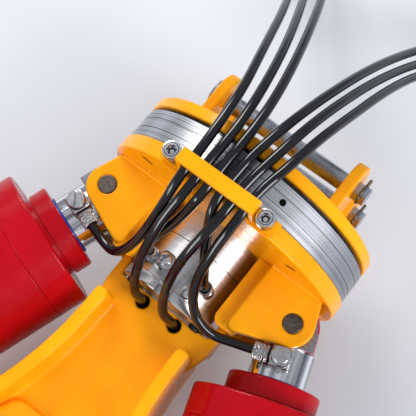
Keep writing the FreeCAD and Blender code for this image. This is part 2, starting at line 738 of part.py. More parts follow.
# Routes from each fitting, through the clamp, over the mount and down to the ground.
HOSE_ROUTES = {
    1: [(-32.9, -23.19, 12.3), (-25.81, -25.63, 12.3), (-18.6, -26.8, 15.6), (-13.8, -20.8, 23.5),
        (-11.2, -11.5, 35.0)] + clamp_run(1) +
       [(-11.0, 18.0, 45.2), (-13.6, 31.5, 40.5), (-20.5, 50.0, 28.5), (-30.0, 73.5, 9.0), (-42.4, 95.0, -15.0),
        (-57.2, 112.4, -34.0), (-73.2, 124.8, GROUND), (-87.2, 133.0, -40.4)],
    2: [(-32.55, -20.18, -17.6), (-25.1, -19.39, -17.6), (-18.6, -19.8, -17.9), (-13.6, -26.0, -17.4),
        (-9.2, -31.5, -12.6), (-6.9, -32.4, -5.0),
        (-6.2, -31.5, 4.0), (-7.6, -32.2, 13.0), (-9.0, -27.4, 21.5), (-9.4, -20.5, 28.8),
        (-8.6, -12.5, 36.2)] + clamp_run(2) +
       [(-5.8, 17.0, 45.8), (-8.0, 31.0, 42.0), (-14.5, 52.0, 30.0), (-25.5, 76.5, 10.0), (-38.5, 99.0, -15.0),
        (-54.0, 118.0, -34.0), (-70.0, 131.0, GROUND), (-83.0, 139.5, -40.4)],
    3: [(-11.4, -19.6, 15.4), (-11.4, -19.6, 20.6), (-9.8, -16.4, 26.8), (-6.0, -11.4, 33.0),
        (-3.6, -6.4, 39.4)] + clamp_run(3) +
       [(-1.7, 18.0, 46.2), (-3.6, 33.0, 42.0), (-10.5, 55.0, 29.0), (-21.0, 80.5, 10.0), (-33.0, 103.5, -14.0),
        (-48.0, 123.5, -33.0), (-64.0, 139.0, GROUND), (-76.0, 149.0, -40.4)],
    4: [(9.4, -18.6, 15.0), (9.4, -18.6, 20.6), (8.2, -16.2, 26.8), (6.0, -12.2, 32.6),
        (3.8, -7.4, 38.2)] + clamp_run(4) +
       [(2.8, 17.0, 46.0), (4.4, 30.0, 43.2), (5.6, 46.0, 34.0), (7.4, 69.0, 16.5), (10.5, 91.0, -4.5),
        (16.0, 111.0, -24.0), (26.0, 128.0, -37.5), (39.0, 141.0, GROUND), (52.0, 149.5, -40.4)],
    5: [(32.55, -20.18, -17.6), (25.1, -19.39, -17.6), (18.6, -19.8, -17.9), (13.6, -26.0, -17.4),
        (9.2, -31.5, -12.6), (6.9, -32.4, -5.0),
        (5.8, -31.5, 4.0), (3.2, -32.2, 13.2), (1.9, -27.2, 21.8), (2.0, -21.5, 30.0),
        (3.4, -15.0, 36.4), (5.0, -8.5, 41.4)] + clamp_run(5) +
       [(7.6, 17.0, 45.8), (8.8, 30.0, 42.8), (9.6, 45.0, 33.5), (10.8, 66.0, 16.0), (13.4, 87.0, -4.5),
        (19.0, 106.5, -24.0), (30.0, 121.5, -37.5), (45.0, 132.5, GROUND), (59.0, 139.8, -40.4)],
    6: [(32.9, -23.19, 12.3), (25.81, -25.63, 12.3), (18.4, -28.6, 14.6), (11.6, -26.8, 20.4),
        (8.4, -20.6, 28.0), (8.8, -11.8, 36.8)] + clamp_run(6) +
       [(12.4, 18.0, 45.4), (13.3, 32.0, 40.0), (14.2, 47.0, 29.0), (14.9, 66.6, 13.2), (16.9, 85.8, -5.6),
        (22.7, 103.5, -24.2), (34.6, 117.0, -37.6), (49.8, 126.6, GROUND), (64.2, 133.4, -40.4)],
}


def hose_edges(points):
    """Straight runs joined by tangent arcs, each as large as its two runs allow."""
    corners = [V(*p) for p in points]
    edges = []
    radii = []
    start = corners[0]
    for before, here, after in zip(corners, corners[1:], corners[2:]):
        back = before - here
        on = after - here
        reach = 0.45 * min(back.Length, on.Length)
        back.normalize()
        on.normalize()
        half = back.getAngle(on) / 2
        radius = reach * math.tan(half)
        first = here + back * reach
        last = here + on * reach
        middle = here + (back + on).normalize() * (radius / math.sin(half) - radius)
        edges.append(Part.makeLine(start, first))
        edges.append(Part.Arc(first, middle, last).toShape())
        radii.append(radius)
        start = last
    edges.append(Part.makeLine(start, corners[-1]))
    return edges, radii


def hose(number):
    edges, radii = hose_edges(HOSE_ROUTES[number])
    path = Part.Wire(edges)
    direction = edges[0].tangentAt(edges[0].FirstParameter)
    section = Part.Wire([Part.Circle(path.Vertexes[0].Point, direction, HOSE_R).toShape()])
    solid = path.makePipeShell([section], True, False)
    expected = math.pi * HOSE_R ** 2 * path.Length
    print("hose", number, "length", round(path.Length, 1), "volume ratio", round(solid.Volume / expected, 4),
          "least radius", round(min(radii), 1), "valid", solid.isValid())
    return solid


def hose_end(number):
    """Ferrule and hexagon union on a hose's free end."""
    route = HOSE_ROUTES[number]
    tip = V(*route[-1])
    step = (tip - V(*route[-2])).normalize()
    ferrule = cylinder(2.3, tip, tip + step * 6.0)
    ring = cylinder(2.6, tip + step * 5.9, tip + step * 10.0)
    spigot = cylinder(1.6, tip + step * 9.9, tip + step * 13.0)
    return fuse([ferrule, ring, spigot])


# ---------------------------------------------------------------- write every piece
def write_all():
    write("lower_disc", lower_disc())
    for index, name in enumerate(("lower", "middle", "upper")):
        write("slew_ring_" + name, slew_ring_layer(index))
    write("slew_balls", slew_balls())
    write("slew_hub", slew_hub())
    write("slew_seal", slew_seal())
    write("upper_disc", upper_disc())
    write("hub_screws", hub_screws())
    write_pair("mount_ear", mount_ear())
    write("mount_pins", Part.makeCompound([mount_pin(EAR_PIN_Z), mount_pin(-EAR_PIN_Z)]))
    write("mount_pin_clips", mount_clips())

    write("motor_front_flange", motor_front())
    write("motor_housing", motor_housing())
    write("motor_rotor", motor_rotor())
    write("motor_end_cap", motor_end_cap())
    write("drive_shaft", drive_shaft())
    write("motor_port_boss", motor_port_boss())
    fittings = [motor_blanking_nut(), motor_side_fitting(), motor_bleed_fitting()]
    write("motor_fittings", Part.makeCompound(fittings))
    write("motor_screws", motor_screws())

    write("grab_frame", grab_frame())
    write_pair("clevis_bracket", clevis_bracket())
    write("hose_clamp", hose_clamp())
    write("clamp_spacers", clamp_spacers())
    write("clamp_screws", clamp_screws())

    write_pair("rod_pin", rod_pin())
    write_pair("rod_eye", place_cylinder(rod_eye()))
    write_pair("piston_rod", place_cylinder(piston_rod()))
    piston_set = Part.makeCompound([piston(), piston_seal()])
    write_pair("piston", place_cylinder(piston_set))
    rear_banjo = seated(banjo_fitting(REAR_LEVEL, False), True)
    right_pair = Part.makeCompound([seated(banjo_fitting(HOSE_LEVEL, False), False), rear_banjo])
    left_pair = Part.makeCompound([seated(banjo_fitting(HOSE_LEVEL, True), False), rear_banjo])
    write("right_banjo_fittings", place_cylinder(right_pair))
    write("left_banjo_fittings", mirrored(place_cylinder(left_pair)))
    nuts = Part.makeCompound([on_rod(hose_nut(HOSE_LEVEL), False), on_rod(hose_nut(REAR_LEVEL), True)])
    write_pair("hose_nuts", place_cylinder(nuts))
    write_pair("wiper_seal", place_cylinder(wiper_seal()))
    write_pair("gland", place_cylinder(gland()))
    write_pair("barrel_head", place_cylinder(barrel_head()))
    write_pair("barrel_tube", place_cylinder(barrel_tube()))
    write_pair("barrel_base", place_cylinder(barrel_base()))

    write_pair("jaw", place_jaw(jaw()))
    pins = Part.makeCompound([jaw_pin(), barrel_pin(), barrel_pin_spacers()])
    write_pair("jaw_pins", place_jaw(pins))

    for number in HOSE_ROUTES:
        write("hose_" + str(number), hose(number))
    write("hose_ends", Part.makeCompound([hose_end(number) for number in HOSE_ROUTES]))


write_all()
print("jaw pivot", JAW_PIVOT, "barrel pin", BARREL_PIN)
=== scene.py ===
"""Rotating hydraulic grab head for a model excavator, lying on its side on a pale table."""
import json
import math

import bmesh
import bpy
from mathutils import Matrix, Vector


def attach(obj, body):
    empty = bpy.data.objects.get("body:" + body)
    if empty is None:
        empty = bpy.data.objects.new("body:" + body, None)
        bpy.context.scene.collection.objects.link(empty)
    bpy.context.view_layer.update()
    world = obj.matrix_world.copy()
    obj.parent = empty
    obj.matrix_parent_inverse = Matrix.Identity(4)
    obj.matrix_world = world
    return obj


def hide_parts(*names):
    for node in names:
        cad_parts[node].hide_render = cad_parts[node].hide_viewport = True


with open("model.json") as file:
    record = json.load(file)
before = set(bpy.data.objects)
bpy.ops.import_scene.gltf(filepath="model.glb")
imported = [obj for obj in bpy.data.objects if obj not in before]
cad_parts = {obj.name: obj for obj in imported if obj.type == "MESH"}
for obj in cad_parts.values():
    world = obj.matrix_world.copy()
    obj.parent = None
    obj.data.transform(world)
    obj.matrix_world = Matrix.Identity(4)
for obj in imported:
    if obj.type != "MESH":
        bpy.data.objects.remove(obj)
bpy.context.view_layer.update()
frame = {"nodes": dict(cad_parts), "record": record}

MM = 0.001
AXIS_START = Vector((0.0, 76.2, 43.0))      # the slew axis at the lower disc's underside, in mm
GROUND = -41.5                              # level of a hose that lies on the table
HOSE_RADIUS = 1.5
LEAN = math.radians(19)
ROD_PIN = Vector((36.0, -10.7, 0.0))
FITTING_STATION = 10.8
FRONT_LEVEL = 12.3
REAR_LEVEL = 17.6
REAR_TURN = math.radians(25)
MOTOR_RADIUS = 14.8
RING_RADIUS = 42.5
CLAMP_SCREW = (16.4, 2.65, 43.6)            # under the right clamp screw's head
EAR_OUTER_X = 26.4
EAR_PIN_Y = 34.0
SIDES = {"right": 1, "left": -1}

scene = bpy.context.scene
scene.view_settings.view_transform = "Standard"
nodes = frame["nodes"]


def placed(x, y, z):
    """Frame position in metres of a point given in mm from the slew axis's start."""
    return (Vector((x, y, z)) + AXIS_START) * MM


# ---------------------------------------------------------------- camera and cords
CAMERA_PLACE = (0.06709, 0.01935, 0.34812)
CAMERA_RIGHT = Vector((0.78208, 0.61915, -0.07079))
CAMERA_UP = Vector((-0.57578, 0.76137, 0.29799))
IMAGE_SIDE = 416
FOCAL_PIXELS = 1000.0


def make_camera():
    data = bpy.data.cameras.new("camera")
    data.sensor_width = 36.0
    data.lens = FOCAL_PIXELS / IMAGE_SIDE * data.sensor_width
    data.clip_start = 0.01
    data.clip_end = 20
    camera = bpy.data.objects.new("camera", data)
    back = CAMERA_RIGHT.cross(CAMERA_UP)
    turn = Matrix((CAMERA_RIGHT, CAMERA_UP, back)).transposed().to_4x4()
    camera.matrix_world = Matrix.Translation(CAMERA_PLACE) @ turn
    scene.collection.objects.link(camera)
    scene.camera = camera


def clamp_run(index):
    x = (index - 3.5) * 4.1
    return [(x, -2.0, 44.4), (x, 7.2, 45.4)]


HOSE_ROUTES = {
    1: [(-32.9, -23.19, 12.3), (-25.81, -25.63, 12.3), (-18.6, -26.8, 15.6), (-13.8, -20.8, 23.5),
        (-11.2, -11.5, 35.0)] + clamp_run(1) +
       [(-11.0, 18.0, 45.2), (-13.6, 31.5, 40.5), (-20.5, 50.0, 28.5), (-30.0, 73.5, 9.0),
        (-42.4, 95.0, -15.0), (-57.2, 112.4, -34.0), (-73.2, 124.8, GROUND), (-87.2, 133.0, -40.4)],
    2: [(-32.55, -20.18, -17.6), (-25.1, -19.39, -17.6), (-18.6, -19.8, -17.9), (-13.6, -26.0, -17.4),
        (-9.2, -31.5, -12.6), (-6.9, -32.4, -5.0),
        (-6.2, -31.5, 4.0), (-7.6, -32.2, 13.0), (-9.0, -27.4, 21.5), (-9.4, -20.5, 28.8),
        (-8.6, -12.5, 36.2)] + clamp_run(2) +
       [(-5.8, 17.0, 45.8), (-8.0, 31.0, 42.0), (-14.5, 52.0, 30.0), (-25.5, 76.5, 10.0),
        (-38.5, 99.0, -15.0), (-54.0, 118.0, -34.0), (-70.0, 131.0, GROUND), (-83.0, 139.5, -40.4)],
    3: [(-11.4, -19.6, 15.4), (-11.4, -19.6, 20.6), (-9.8, -16.4, 26.8), (-6.0, -11.4, 33.0),
        (-3.6, -6.4, 39.4)] + clamp_run(3) +
       [(-1.7, 18.0, 46.2), (-3.6, 33.0, 42.0), (-10.5, 55.0, 29.0), (-21.0, 80.5, 10.0),
        (-33.0, 103.5, -14.0), (-48.0, 123.5, -33.0), (-64.0, 139.0, GROUND), (-76.0, 149.0, -40.4)],
    4: [(9.4, -18.6, 15.0), (9.4, -18.6, 20.6), (8.2, -16.2, 26.8), (6.0, -12.2, 32.6),
        (3.8, -7.4, 38.2)] + clamp_run(4) +
       [(2.8, 17.0, 46.0), (4.4, 30.0, 43.2), (5.6, 46.0, 34.0), (7.4, 69.0, 16.5), (10.5, 91.0, -4.5),
        (16.0, 111.0, -24.0), (26.0, 128.0, -37.5), (39.0, 141.0, GROUND), (52.0, 149.5, -40.4)],
    5: [(32.55, -20.18, -17.6), (25.1, -19.39, -17.6), (18.6, -19.8, -17.9), (13.6, -26.0, -17.4),
        (9.2, -31.5, -12.6), (6.9, -32.4, -5.0),
        (5.8, -31.5, 4.0), (3.2, -32.2, 13.2), (1.9, -27.2, 21.8), (2.0, -21.5, 30.0),
        (3.4, -15.0, 36.4), (5.0, -8.5, 41.4)] + clamp_run(5) +
       [(7.6, 17.0, 45.8), (8.8, 30.0, 42.8), (9.6, 45.0, 33.5), (10.8, 66.0, 16.0), (13.4, 87.0, -4.5),
        (19.0, 106.5, -24.0), (30.0, 121.5, -37.5), (45.0, 132.5, GROUND), (59.0, 139.8, -40.4)],
    6: [(32.9, -23.19, 12.3), (25.81, -25.63, 12.3), (18.4, -28.6, 14.6), (11.6, -26.8, 20.4),
        (8.4, -20.6, 28.0), (8.8, -11.8, 36.8)] + clamp_run(6) +
       [(12.4, 18.0, 45.4), (13.3, 32.0, 40.0), (14.2, 47.0, 29.0), (14.9, 66.6, 13.2), (16.9, 85.8, -5.6),
        (22.7, 103.5, -24.2), (34.6, 117.0, -37.6), (49.8, 126.6, GROUND), (64.2, 133.4, -40.4)],
}


# ---------------------------------------------------------------- material helpers
class Shader:
    """A material's node tree, with short calls for the nodes used here."""

    def __init__(self, name):
        self.material = bpy.data.materials.new(name)
        self.material.use_nodes = True
        self.tree = self.material.node_tree
        self.surface = self.tree.nodes["Principled BSDF"]
        self.coords = self.tree.nodes.new("ShaderNodeTexCoord")

    def set(self, **values):
        for key, value in values.items():
            self.surface.inputs[key.replace("_", " ")].default_value = value

    def node(self, kind, **inputs):
        made = self.tree.nodes.new("ShaderNode" + kind)
        for key, value in inputs.items():
            socket = made.inputs[key.replace("_", " ")]
            if isinstance(value, bpy.types.NodeSocket):
                self.tree.links.new(value, socket)
            else:
                socket.default_value = value
        return made

    def link(self, output, name):
        self.tree.links.new(output, self.surface.inputs[name])

    def stretched(self, scale, turn=(0, 0, 0)):
        """Object coordinates, scaled by a different amount on each axis and then turned."""
        mapping = self.node("Mapping", Vector=self.coords.outputs["Object"], Rotation=turn, Scale=scale)
        return mapping.outputs["Vector"]

    def around_slew_axis(self, along, outward, round_scale):
        """Coordinates that hardly change round the slew axis, so that noise becomes lathe marks."""
        shift = tuple(-value * MM for value in AXIS_START)
        moved = self.node("Mapping", Vector=self.coords.outputs["Object"], Location=shift)
        parts = self.node("SeparateXYZ", Vector=moved.outputs["Vector"])
        flat = self.node("CombineXYZ", X=parts.outputs["X"], Z=parts.outputs["Z"])
        length = self.tree.nodes.new("ShaderNodeVectorMath")
        length.operation = "LENGTH"
        self.tree.links.new(flat.outputs["Vector"], length.inputs[0])
        height = self.math("MULTIPLY", parts.outputs["Y"], along)
        radius = self.math("MULTIPLY", length.outputs["Value"], outward)
        drift = self.math("MULTIPLY", parts.outputs["X"], round_scale)
        return self.node("CombineXYZ", X=height, Y=radius, Z=drift).outputs["Vector"]

    def math(self, operation, first, second):
        made = self.tree.nodes.new("ShaderNodeMath")
        made.operation = operation
        for index, value in enumerate((first, second)):
            if isinstance(value, bpy.types.NodeSocket):
                self.tree.links.new(value, made.inputs[index])
            else:
                made.inputs[index].default_value = value
        return made.outputs["Value"]

    def noise(self, vector, scale, detail=3.0):
        return self.node("TexNoise", Vector=vector, Scale=scale, Detail=detail).outputs["Fac"]

    def ramp(self, factor, low, high, start=0.35, end=0.65):
        """Colour or grey that goes from low to high as factor goes from start to end."""
        made = self.node("ValToRGB", Fac=factor)
        band = made.color_ramp
        band.elements[0].position = start
        band.elements[0].color = colour(low)
        band.elements[1].position = end
        band.elements[1].color = colour(high)
        return made.outputs["Color"]

    def bump(self, height, depth_mm, strength=1.0):
        made = self.node("Bump", Height=height, Strength=strength, Distance=depth_mm * MM)
        self.link(made.outputs["Normal"], "Normal")


def colour(value):
    if isinstance(value, (int, float)):
        value = (value, value, value)
    return (*value, 1.0)


# ---------------------------------------------------------------- materials
def enamel(name, deep, bright, peel=0.012):
    """Thick glossy paint: slight change of tone, faint orange peel."""
    shader = Shader(name)
    plain = shader.coords.outputs["Object"]
    shader.link(shader.ramp(shader.noise(plain, 45.0), deep, bright), "Base Color")
    shader.link(shader.ramp(shader.noise(plain, 260.0), 0.2, 0.32), "Roughness")
    shader.bump(shader.noise(plain, 520.0, 2.0), peel)
    shader.set(Coat_Weight=0.15, Coat_Roughness=0.03, IOR=1.5, Specular_IOR_Level=0.08)
    return shader.material


def lathe_turned(name, dark, bright, smooth, rough):
    """Steel or aluminium turned round the slew axis: fine lathe marks, and broad dark and bright bands
    across it that paint its sheen.
    """
    shader = Shader(name)
    fine = shader.noise(shader.around_slew_axis(9000.0, 9000.0, 12.0), 1.0, 4.0)
    # painted sheen: broad dark and bright bands in the base colour
    painted_sheen_bands = shader.noise(shader.stretched((70.0, 0.0, 25.0)), 1.0, 1.0)
    both = shader.math("ADD", shader.math("MULTIPLY", fine, 0.45), shader.math("MULTIPLY", painted_sheen_bands, 0.55))
    shader.link(shader.ramp(both, dark, bright), "Base Color")
    shader.link(shader.ramp(fine, smooth, rough, 0.3, 0.7), "Roughness")
    shader.bump(fine, 0.0012)
    shader.set(Metallic=1.0)
    return shader.material


def brushed(name, dark, bright, smooth, rough, scale=(600.0, 6000.0, 6000.0), turn=(0, 0, 0), depth=0.0008):
    """Bare metal with fine straight brushing along the mapping's X axis."""
    shader = Shader(name)
    lines = shader.noise(shader.stretched(scale, turn), 1.0, 4.0)
    broad = shader.noise(shader.coords.outputs["Object"], 150.0)
    both = shader.math("ADD", shader.math("MULTIPLY", lines, 0.65), shader.math("MULTIPLY", broad, 0.35))
    shader.link(shader.ramp(both, dark, bright), "Base Color")
    shader.link(shader.ramp(lines, smooth, rough, 0.3, 0.7), "Roughness")
    shader.bump(lines, depth)
    shader.set(Metallic=1.0)
    return shader.material


def chrome(name, low, lean):
    """Hard chrome on a rod that leans in the drawing plane: dark and bright streaks along it paint its
    reflections; hairline marks in the bump.
    """
    shader = Shader(name)
    plain = shader.coords.outputs["Object"]
    upright = shader.node("Mapping", Vector=plain, Rotation=(0.0, 0.0, lean))
    # painted reflection: base colour streaked dark and bright along the rod
    reflection_streaks = shader.node("Mapping", Vector=upright.outputs["Vector"], Scale=(420.0, 5.0, 420.0))
    tone = shader.noise(reflection_streaks.outputs["Vector"], 1.0, 2.0)
    shader.link(shader.ramp(tone, low, (0.88, 0.88, 0.9), 0.4, 0.6), "Base Color")
    shader.link(shader.ramp(shader.noise(plain, 700.0), 0.05, 0.14), "Roughness")
    shader.bump(shader.noise(shader.stretched((5000.0, 900.0, 5000.0)), 1.0), 0.002)
    shader.set(Metallic=1.0)
    return shader.material


def hose_skin(name):
    """Glossy black polyurethane tube with faint drawing marks."""
    shader = Shader(name)
    plain = shader.coords.outputs["Object"]
    tone = shader.ramp(shader.noise(plain, 120.0), (0.002, 0.002, 0.003), (0.006, 0.006, 0.008))
    shader.link(tone, "Base Color")
    shader.link(shader.ramp(shader.noise(plain, 420.0), 0.08, 0.14), "Roughness")
    shader.bump(shader.noise(plain, 900.0), 0.003)
    shader.set(Coat_Weight=0.25, Coat_Roughness=0.05, Specular_IOR_Level=0.3)
    return shader.material


def rubber(name, low, high, shine):
    shader = Shader(name)
    shader.set(Specular_IOR_Level=shine)
    plain = shader.coords.outputs["Object"]
    shader.link(shader.ramp(shader.noise(plain, 300.0), low, high), "Base Color")
    shader.link(shader.ramp(shader.noise(plain, 800.0), 0.35, 0.5), "Roughness")
    shader.bump(shader.noise(plain, 1500.0), 0.01)
    return shader.material


def lug_paint(name, red_deep, red_bright):
    """Rod lug: red enamel on its round edge, bare machined metal on its two flat faces."""
    shader = Shader(name)
    plain = shader.coords.outputs["Object"]
    normal = shader.node("SeparateXYZ", Vector=shader.coords.outputs["Normal"])
    flat = shader.math("GREATER_THAN", shader.math("ABSOLUTE", normal.outputs["Z"], 0.0), 0.97)
    paint = shader.ramp(shader.noise(plain, 60.0), red_deep, red_bright)
    lines = shader.noise(shader.stretched((700.0, 7000.0, 700.0)), 1.0, 4.0)
    metal = shader.ramp(lines, (0.2, 0.19, 0.21), (0.42, 0.41, 0.45))
    mix = shader.tree.nodes.new("ShaderNodeMix")
    mix.data_type = "RGBA"
    shader.tree.links.new(flat, mix.inputs["Factor"])
    shader.tree.links.new(paint, mix.inputs[6])
    shader.tree.links.new(metal, mix.inputs[7])
    shader.link(mix.outputs[2], "Base Color")
    shader.link(flat, "Metallic")
    shader.link(shader.ramp(lines, 0.28, 0.42, 0.3, 0.7), "Roughness")
    return shader.material


def make_materials():
    red_deep = (0.34, 0.0005, 0.004)
    red_bright = (0.43, 0.001, 0.008)
    return {
        "yellow_enamel": enamel("yellow_enamel", (0.9, 0.33, 0.002), (0.98, 0.41, 0.004)),
        "red_enamel": enamel("red_enamel", red_deep, red_bright),
        "lug": lug_paint("red_lug", red_deep, red_bright),
        "turned": lathe_turned("turned_steel", (0.2, 0.205, 0.23), (0.68, 0.69, 0.72), 0.24, 0.38),
        "motor": lathe_turned("turned_aluminium", (0.52, 0.52, 0.53), (0.74, 0.73, 0.73), 0.24, 0.36),
        "brushed_steel": brushed("brushed_steel", (0.5, 0.5, 0.52), (0.74, 0.74, 0.76), 0.16, 0.3),
        "bearing_steel": chrome("bearing_steel", (0.74, 0.75, 0.79), 0.0),
        "chrome_rod": chrome("chrome_rod", (0.22, 0.225, 0.26), -LEAN),
        "left_chrome": chrome("left_chrome", (0.22, 0.225, 0.26), LEAN),
        "fitting": brushed("fitting_steel", (0.3, 0.3, 0.31), (0.62, 0.62, 0.63), 0.26, 0.42),
        "dark_steel": brushed("dark_steel", (0.26, 0.27, 0.3), (0.5, 0.52, 0.57), 0.24, 0.4),
        "brown_pin": brushed("brown_pin", (0.05, 0.04, 0.034), (0.2, 0.165, 0.14), 0.3, 0.5,
                             (900.0, 5200.0, 900.0), (0, 0, 0.7), 0.02),
        "black_screws": brushed("black_oxide", (0.012, 0.012, 0.014), (0.05, 0.05, 0.055), 0.3, 0.45),
        "blue_seal": rubber("blue_seal", (0.004, 0.02, 0.2), (0.01, 0.045, 0.32), 0.4),
        "black_rubber": hose_skin("black_hose"),
        # near-black for real joint lines and for painted shade in creases, sockets, holes and slots
        "joint_dark_and_painted_shade": rubber("joint_dark_and_painted_shade", (0.0015, 0.0015, 0.0015), (0.004, 0.004, 0.004), 0.02),
    }


def paint_cad_nodes():
    """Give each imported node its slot's material, and a few nodes a material of their own."""
    own = {"slew_ring_lower": "turned", "slew_ring_middle": "turned", "slew_ring_upper": "turned",
           "slew_hub": "turned", "motor_front_flange": "motor", "motor_housing": "motor",
           "motor_end_cap": "motor", "right_rod_eye": "lug", "left_rod_eye": "lug",
           "left_piston_rod": "left_chrome"}
    for entry in frame["record"]["subparts"]:
        name = entry["node"]
        slot_name = own.get(name, entry["material_slot"])
        mesh = nodes[name].data
        mesh.materials.clear()
        mesh.materials.append(materials[slot_name])


# ---------------------------------------------------------------- mesh helpers
def add_mesh(name, bm, body, slot_name, transform=None, sharp=math.radians(32), look=None):
    """Turn a bmesh drawn in mm into a piece: placed, smooth shaded, riding a body."""
    bm.transform(transform or Matrix.Identity(4))
    bmesh.ops.scale(bm, vec=(MM, MM, MM), verts=bm.verts)
    bmesh.ops.recalc_face_normals(bm, faces=bm.faces)
    for face in bm.faces:
        face.smooth = True
    for edge in bm.edges:
        edge.smooth = edge.is_manifold and edge.calc_face_angle(0.0) < sharp
    mesh = bpy.data.meshes.new(name)
    bm.to_mesh(mesh)
    bm.free()
    mesh.materials.append(materials[look or slot_name])
    piece = bpy.data.objects.new(name, mesh)
    scene.collection.objects.link(piece)
    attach(piece, body)
    return piece


def frame_move(x=0.0, y=0.0, z=0.0):
    """Matrix in mm that takes a point given from the slew axis's start to the frame."""
    return Matrix.Translation(Vector((x, y, z)) + AXIS_START)


def upright_on(x, y, z, direction):
    """Matrix that stands a shape drawn along +Z at a point, along a direction."""
    turn = Vector((0, 0, 1)).rotation_difference(Vector(direction)).to_matrix().to_4x4()
    return frame_move(x, y, z) @ turn


def cylinder_frame(side):
    """Matrix from a hydraulic cylinder's own drawing to the frame; the left one is mirrored."""
    flip = Matrix.Diagonal((side, 1, 1, 1))
    return frame_move() @ flip @ Matrix.Translation(ROD_PIN) @ Matrix.Rotation(LEAN, 4, "Z")


def stitch(bm, rings):
    """Faces between each ring of vertices and the next one."""
    for low, high in zip(rings, rings[1:]):
        count = len(low)
        for i in range(count):
            j = (i + 1) % count
            bm.faces.new((low[i], low[j], high[j], high[i]))


def capped(bm, rings):
    """As stitch, with a face on the first and the last ring."""
    stitch(bm, rings)
    bm.faces.new(list(reversed(rings[0])))
    bm.faces.new(rings[-1])


def lathe(bm, profile, segments=64, move=None):
    """Closed ring of faces from (radius, height) pairs, turned round Z."""
    move = move or Matrix.Identity(4)
    rings = []
    for radius, height in profile:
        ring = []
        for i in range(segments):
            angle = 2 * math.pi * i / segments
            point = Vector((radius * math.cos(angle), radius * math.sin(angle), height))
            ring.append(bm.verts.new(move @ point))
        rings.append(ring)
    capped(bm, rings)


def turned_shell(bm, profile, segments=64, move=None):
    """As lathe, but the profile is a closed loop, as in a ring with a bore."""
    move = move or Matrix.Identity(4)
    rings = []
    for radius, height in profile:
        angles = [2 * math.pi * i / segments for i in range(segments)]
        points = [Vector((radius * math.cos(a), radius * math.sin(a), height)) for a in angles]
        rings.append([bm.verts.new(move @ point) for point in points])
    stitch(bm, rings + rings[:1])


def socket_head(bm, radius, height, socket, move, knurls=36):
    """Cap screw head along +Z: knurled side, rounded top edge and a hexagon socket."""
    segments = knurls * 2
    hexagon = [socket / math.cos(((2 * math.pi * i / segments + math.pi / 6) % (math.pi / 3)) - math.pi / 6)
               for i in range(segments)]
    rim = height - 0.35

    def ring(radii, level):
        made = []
        for i, r in enumerate(radii):
            angle = 2 * math.pi * i / segments
            made.append(bm.verts.new(move @ Vector((r * math.cos(angle), r * math.sin(angle), level))))
        return made

    def side(level_radius, ridge):
        return [level_radius - (ridge if i % 2 else 0.0) for i in range(segments)]

    depth = height * 0.62
    rings = [ring(side(radius - 0.15, 0), 0.0), ring(side(radius, 0.12), 0.2), ring(side(radius, 0.12), rim),
             ring(side(radius - 0.12, 0), height - 0.12), ring(side(radius - 0.35, 0), height),
             ring([r + 0.12 for r in hexagon], height), ring(hexagon, height - 0.12),
             ring(hexagon, height - depth)]
    capped(bm, rings)


def hexagon_nut(bm, across, low, high, move):
    """Hexagon with chamfered corners on both faces."""
    corner = across / math.sqrt(3)
    segments = 48
    rings = []
    for level, cap in ((low, 0.93), (low + 0.35, 1.2), (high - 0.35, 1.2), (high, 0.93)):
        ring = []
        for i in range(segments):
            angle = 2 * math.pi * i / segments
            side = (angle % (math.pi / 3)) - math.pi / 6
            radius = min(across / 2 / math.cos(side), corner * cap)
            point = Vector((radius * math.cos(angle), radius * math.sin(angle), level))
            ring.append(bm.verts.new(move @ point))
        rings.append(ring)
    capped(bm, rings)


def wire(name, points, radius, body, slot_name, look=None, closed=False):
    """Round wire or weld bead along points in mm from the slew axis's start."""
    data = bpy.data.curves.new(name, "CURVE")
    data.dimensions = "3D"
    data.bevel_depth = 1.0
    data.bevel_resolution = 4
    data.use_fill_caps = True
    spline = data.splines.new("NURBS")
    spline.points.add(len(points) - 1)
    for slot_point, point in zip(spline.points, points):
        slot_point.co = (*placed(*point), 1.0)
        slot_point.radius = radius * MM
    spline.order_u = 3
    spline.use_endpoint_u = not closed
    spline.use_cyclic_u = closed
    spline.resolution_u = 8
    data.materials.append(materials[look or slot_name])
    piece = bpy.data.objects.new(name, data)
    scene.collection.objects.link(piece)
    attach(piece, body)
    return piece


def softened(node, body, voxel_mm, passes, keep):
    """A copy of a painted node with its edges and inner corners rounded, as thick paint leaves them."""
    source = nodes[node]
    piece = bpy.data.objects.new(node + "_cast", source.data.copy())
    piece.matrix_world = source.matrix_world
    scene.collection.objects.link(piece)
    remesh = piece.modifiers.new("remesh", "REMESH")
    remesh.mode = "VOXEL"
    remesh.voxel_size = voxel_mm * MM
    smooth = piece.modifiers.new("smooth", "SMOOTH")
    smooth.factor = 0.5
    smooth.iterations = passes
    thin = piece.modifiers.new("thin", "DECIMATE")
    thin.ratio = keep
    graph = bpy.context.evaluated_depsgraph_get()
    mesh = bpy.data.meshes.new_from_object(piece.evaluated_get(graph))
    piece.modifiers.clear()
    piece.data = mesh
    for face in mesh.polygons:
        face.use_smooth = True
    mesh.materials.clear()
    mesh.materials.append(materials["yellow_enamel"])
    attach(piece, body)
    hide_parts(node)
    return piece


# ---------------------------------------------------------------- hoses and their end unions
def make_union(number):
    """Crimped ferrule, hexagon and spigot on a hose's free end."""
    route = HOSE_ROUTES[number]
    tip = Vector(route[-1])
    direction = (tip - Vector(route[-2])).normalized()
    move = upright_on(*tip, direction)
    bm = bmesh.new()
    sleeve = [(1.56, -0.6), (2.2, -0.6), (2.3, -0.4)]
    for crimp in (1.0, 2.4, 3.8):
        sleeve += [(2.3, crimp), (2.05, crimp + 0.25), (2.05, crimp + 0.65), (2.3, crimp + 0.9)]
    sleeve += [(2.3, 5.6), (2.0, 6.0)]
    lathe(bm, sleeve, 48, move)
    hexagon_nut(bm, 4.7, 6.0, 10.0, move)
    lathe(bm, [(1.6, 9.8), (1.6, 11.0), (1.25, 11.2), (1.25, 11.5), (1.6, 11.7), (1.6, 12.6), (1.3, 13.0)],
          32, move)
    piece = add_mesh("hose_union_%d" % number, bm, "base", "brushed_steel")
    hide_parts("hose_ends")
    return piece


